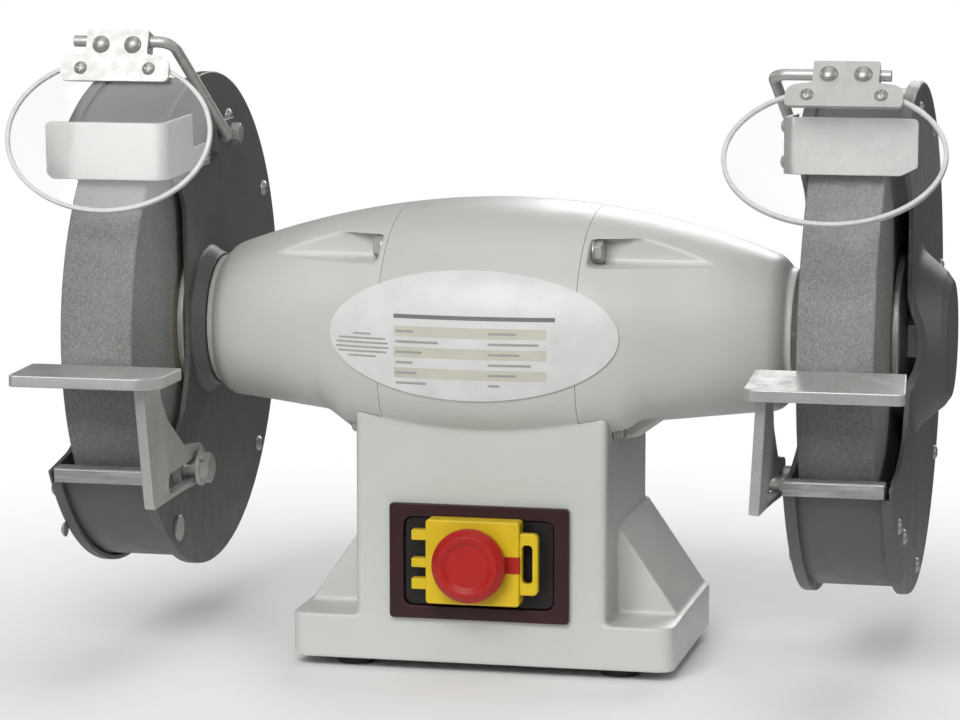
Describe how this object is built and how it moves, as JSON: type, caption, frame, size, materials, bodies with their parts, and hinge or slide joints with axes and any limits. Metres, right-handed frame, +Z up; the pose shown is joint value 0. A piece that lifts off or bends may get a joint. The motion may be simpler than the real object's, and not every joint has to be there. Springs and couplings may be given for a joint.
{
  "type": "bench grinder",
  "caption": "Double-ended bench grinder on a cast pedestal with sheet steel wheel guards, tool rests, spark arresters, tilting eye shields and a lidded stop switch.",
  "frame": {"origin": "centre of the footprint on the bench, at the undersides of the feet", "axes": "+X along the spindle to the operator's right, -Y towards the operator, +Z up"},
  "size_m": [0.5014, 0.3116, 0.3492],
  "materials": {
    "housing_paint": "satin",
    "bell_paint": "satin",
    "guard_paint": "satin",
    "zinc": "satin",
    "rest_steel": "satin",
    "dark_steel": "satin",
    "capacitor_can": "satin",
    "abrasive": "matte",
    "rubber": "matte",
    "label": "satin",
    "switch_black": "satin",
    "switch_maroon": "satin",
    "switch_yellow": "satin",
    "switch_red": "satin",
    "switch_green": "satin",
    "lens": "gloss",
    "copper": "satin"
  },
  "bodies": {
    "stand": {"bearing_left": "zinc", "bearing_right": "zinc", "bell_bolt_left_front_lower": "zinc", "bell_bolt_left_front_upper": "zinc", "bell_bolt_left_rear_lower": "zinc", "bell_bolt_left_rear_upper": "zinc", "bell_bolt_right_front_lower": "zinc", "bell_bolt_right_front_upper": "zinc", "bell_bolt_right_rear_lower": "zinc", "bell_bolt_right_rear_upper": "zinc", "bottom_plate": "dark_steel", "cable_gland": "switch_black", "end_bell_left": "bell_paint", "end_bell_right": "bell_paint", "foot_front_left": "rubber", "foot_front_right": "rubber", "foot_rear_left": "rubber", "foot_rear_right": "rubber", "guard_cover_left": "guard_paint", "guard_cover_right": "guard_paint", "guard_shell_left": "guard_paint", "guard_shell_right": "guard_paint", "housing_casting": "housing_paint", "nameplate": "label", "run_capacitor": "capacitor_can", "shield_clamp_left": "guard_paint", "shield_clamp_right": "guard_paint", "stator_core": "dark_steel", "stator_winding_left": "copper", "stator_winding_right": "copper", "switch_bezel": "switch_maroon", "switch_housing": "switch_black", "wave_spring": "zinc"},
    "rotor": {"spindle": "zinc", "rotor_core": "dark_steel", "wheel_left": "abrasive", "inner_flange_left": "zinc", "outer_flange_left": "zinc", "spindle_nut_left": "zinc", "wheel_right": "abrasive", "inner_flange_right": "zinc", "outer_flange_right": "zinc", "spindle_nut_right": "zinc"},
    "start": {"start_button": "switch_green"},
    "stop": {"stop_button": "switch_red"},
    "lid": {"switch_lid": "switch_yellow"},
    "mushroom": {"stop_mushroom": "switch_red"},
    "rest_clamp_left": {"rest_bolt_left": "zinc"},
    "rest_left": {"tool_rest_left": "rest_steel"},
    "arrester_left": {"spark_arrester_left": "zinc"},
    "rod_left": {"shield_rod_left": "zinc"},
    "shield_left": {"shield_bracket_left": "zinc", "eye_shield_left": "lens"},
    "rest_clamp_right": {"rest_bolt_right": "zinc"},
    "rest_right": {"tool_rest_right": "rest_steel"},
    "arrester_right": {"spark_arrester_right": "zinc"},
    "rod_right": {"shield_rod_right": "zinc"},
    "shield_right": {"shield_bracket_right": "zinc", "eye_shield_right": "lens"}
  },
  "joints": [
    {"name": "spindle_spin", "type": "hinge", "parent": "stand", "child": "rotor", "pos_m": [-0.0035, 0.0172, 0.182], "axis": [1, 0, 0], "continuous": true},
    {"name": "rest_tilt_left", "type": "hinge", "parent": "stand", "child": "rest_clamp_left", "pos_m": [-0.1685, -0.05328, 0.1085], "axis": [1, 0, 0], "range_deg": [-1, 15]},
    {"name": "rest_slide_left", "type": "slide", "parent": "rest_clamp_left", "child": "rest_left", "axis": [0, 0.9994, 0.0349], "range_m": [-0.005, 0.0015]},
    {"name": "arrester_slide_left", "type": "slide", "parent": "stand", "child": "arrester_left", "axis": [0, -0.0349, 0.9994], "range_m": [-0.004, 0.012]},
    {"name": "rod_swing_left", "type": "hinge", "parent": "stand", "child": "rod_left", "pos_m": [-0.164, 0.01964, 0.28415], "axis": [-1, 0, 0], "range_deg": [-5, 45]},
    {"name": "shield_tilt_left", "type": "hinge", "parent": "rod_left", "child": "shield_left", "pos_m": [-0.1935, -0.08414, 0.34238], "axis": [-1, 0, 0], "range_deg": [-8, 50]},
    {"name": "rest_tilt_right", "type": "hinge", "parent": "stand", "child": "rest_clamp_right", "pos_m": [0.1615, -0.05823, 0.11359], "axis": [1, 0, 0], "range_deg": [-1, 15]},
    {"name": "rest_slide_right", "type": "slide", "parent": "rest_clamp_right", "child": "rest_right", "axis": [0, 0.9994, -0.0349], "range_m": [-0.005, 0.0015]},
    {"name": "arrester_slide_right", "type": "slide", "parent": "stand", "child": "arrester_right", "axis": [0, 0.0349, 0.9994], "range_m": [-0.006, 0.012]},
    {"name": "rod_swing_right", "type": "hinge", "parent": "stand", "child": "rod_right", "pos_m": [0.157, 0.02676, 0.28373], "axis": [-1, 0, 0], "range_deg": [-5, 45]},
    {"name": "shield_tilt_right", "type": "hinge", "parent": "rod_right", "child": "shield_right", "pos_m": [0.1935, -0.08311, 0.32946], "axis": [-1, 0, 0], "range_deg": [-23, 28]},
    {"name": "lid_open", "type": "hinge", "parent": "stand", "child": "lid", "pos_m": [-0.0355, -0.0593, 0.0645], "axis": [0, 0, -1], "range_deg": [0, 100]},
    {"name": "mushroom_press", "type": "slide", "parent": "lid", "child": "mushroom", "axis": [0, 1, 0], "range_m": [0, 0.003], "stiffness_N_per_m": 300, "springref_m": -0.001},
    {"name": "stop_press", "type": "slide", "parent": "stand", "child": "stop", "axis": [0, 1, 0], "range_m": [0, 0.003], "stiffness_N_per_m": 300, "springref_m": -0.001},
    {"name": "start_press", "type": "slide", "parent": "stand", "child": "start", "axis": [0, 1, 0], "range_m": [0, 0.003], "stiffness_N_per_m": 300, "springref_m": -0.001}
  ],
  "couplings": [
    {"joint": "stop_press", "follows": "mushroom_press", "ratio": 1}
  ]
}
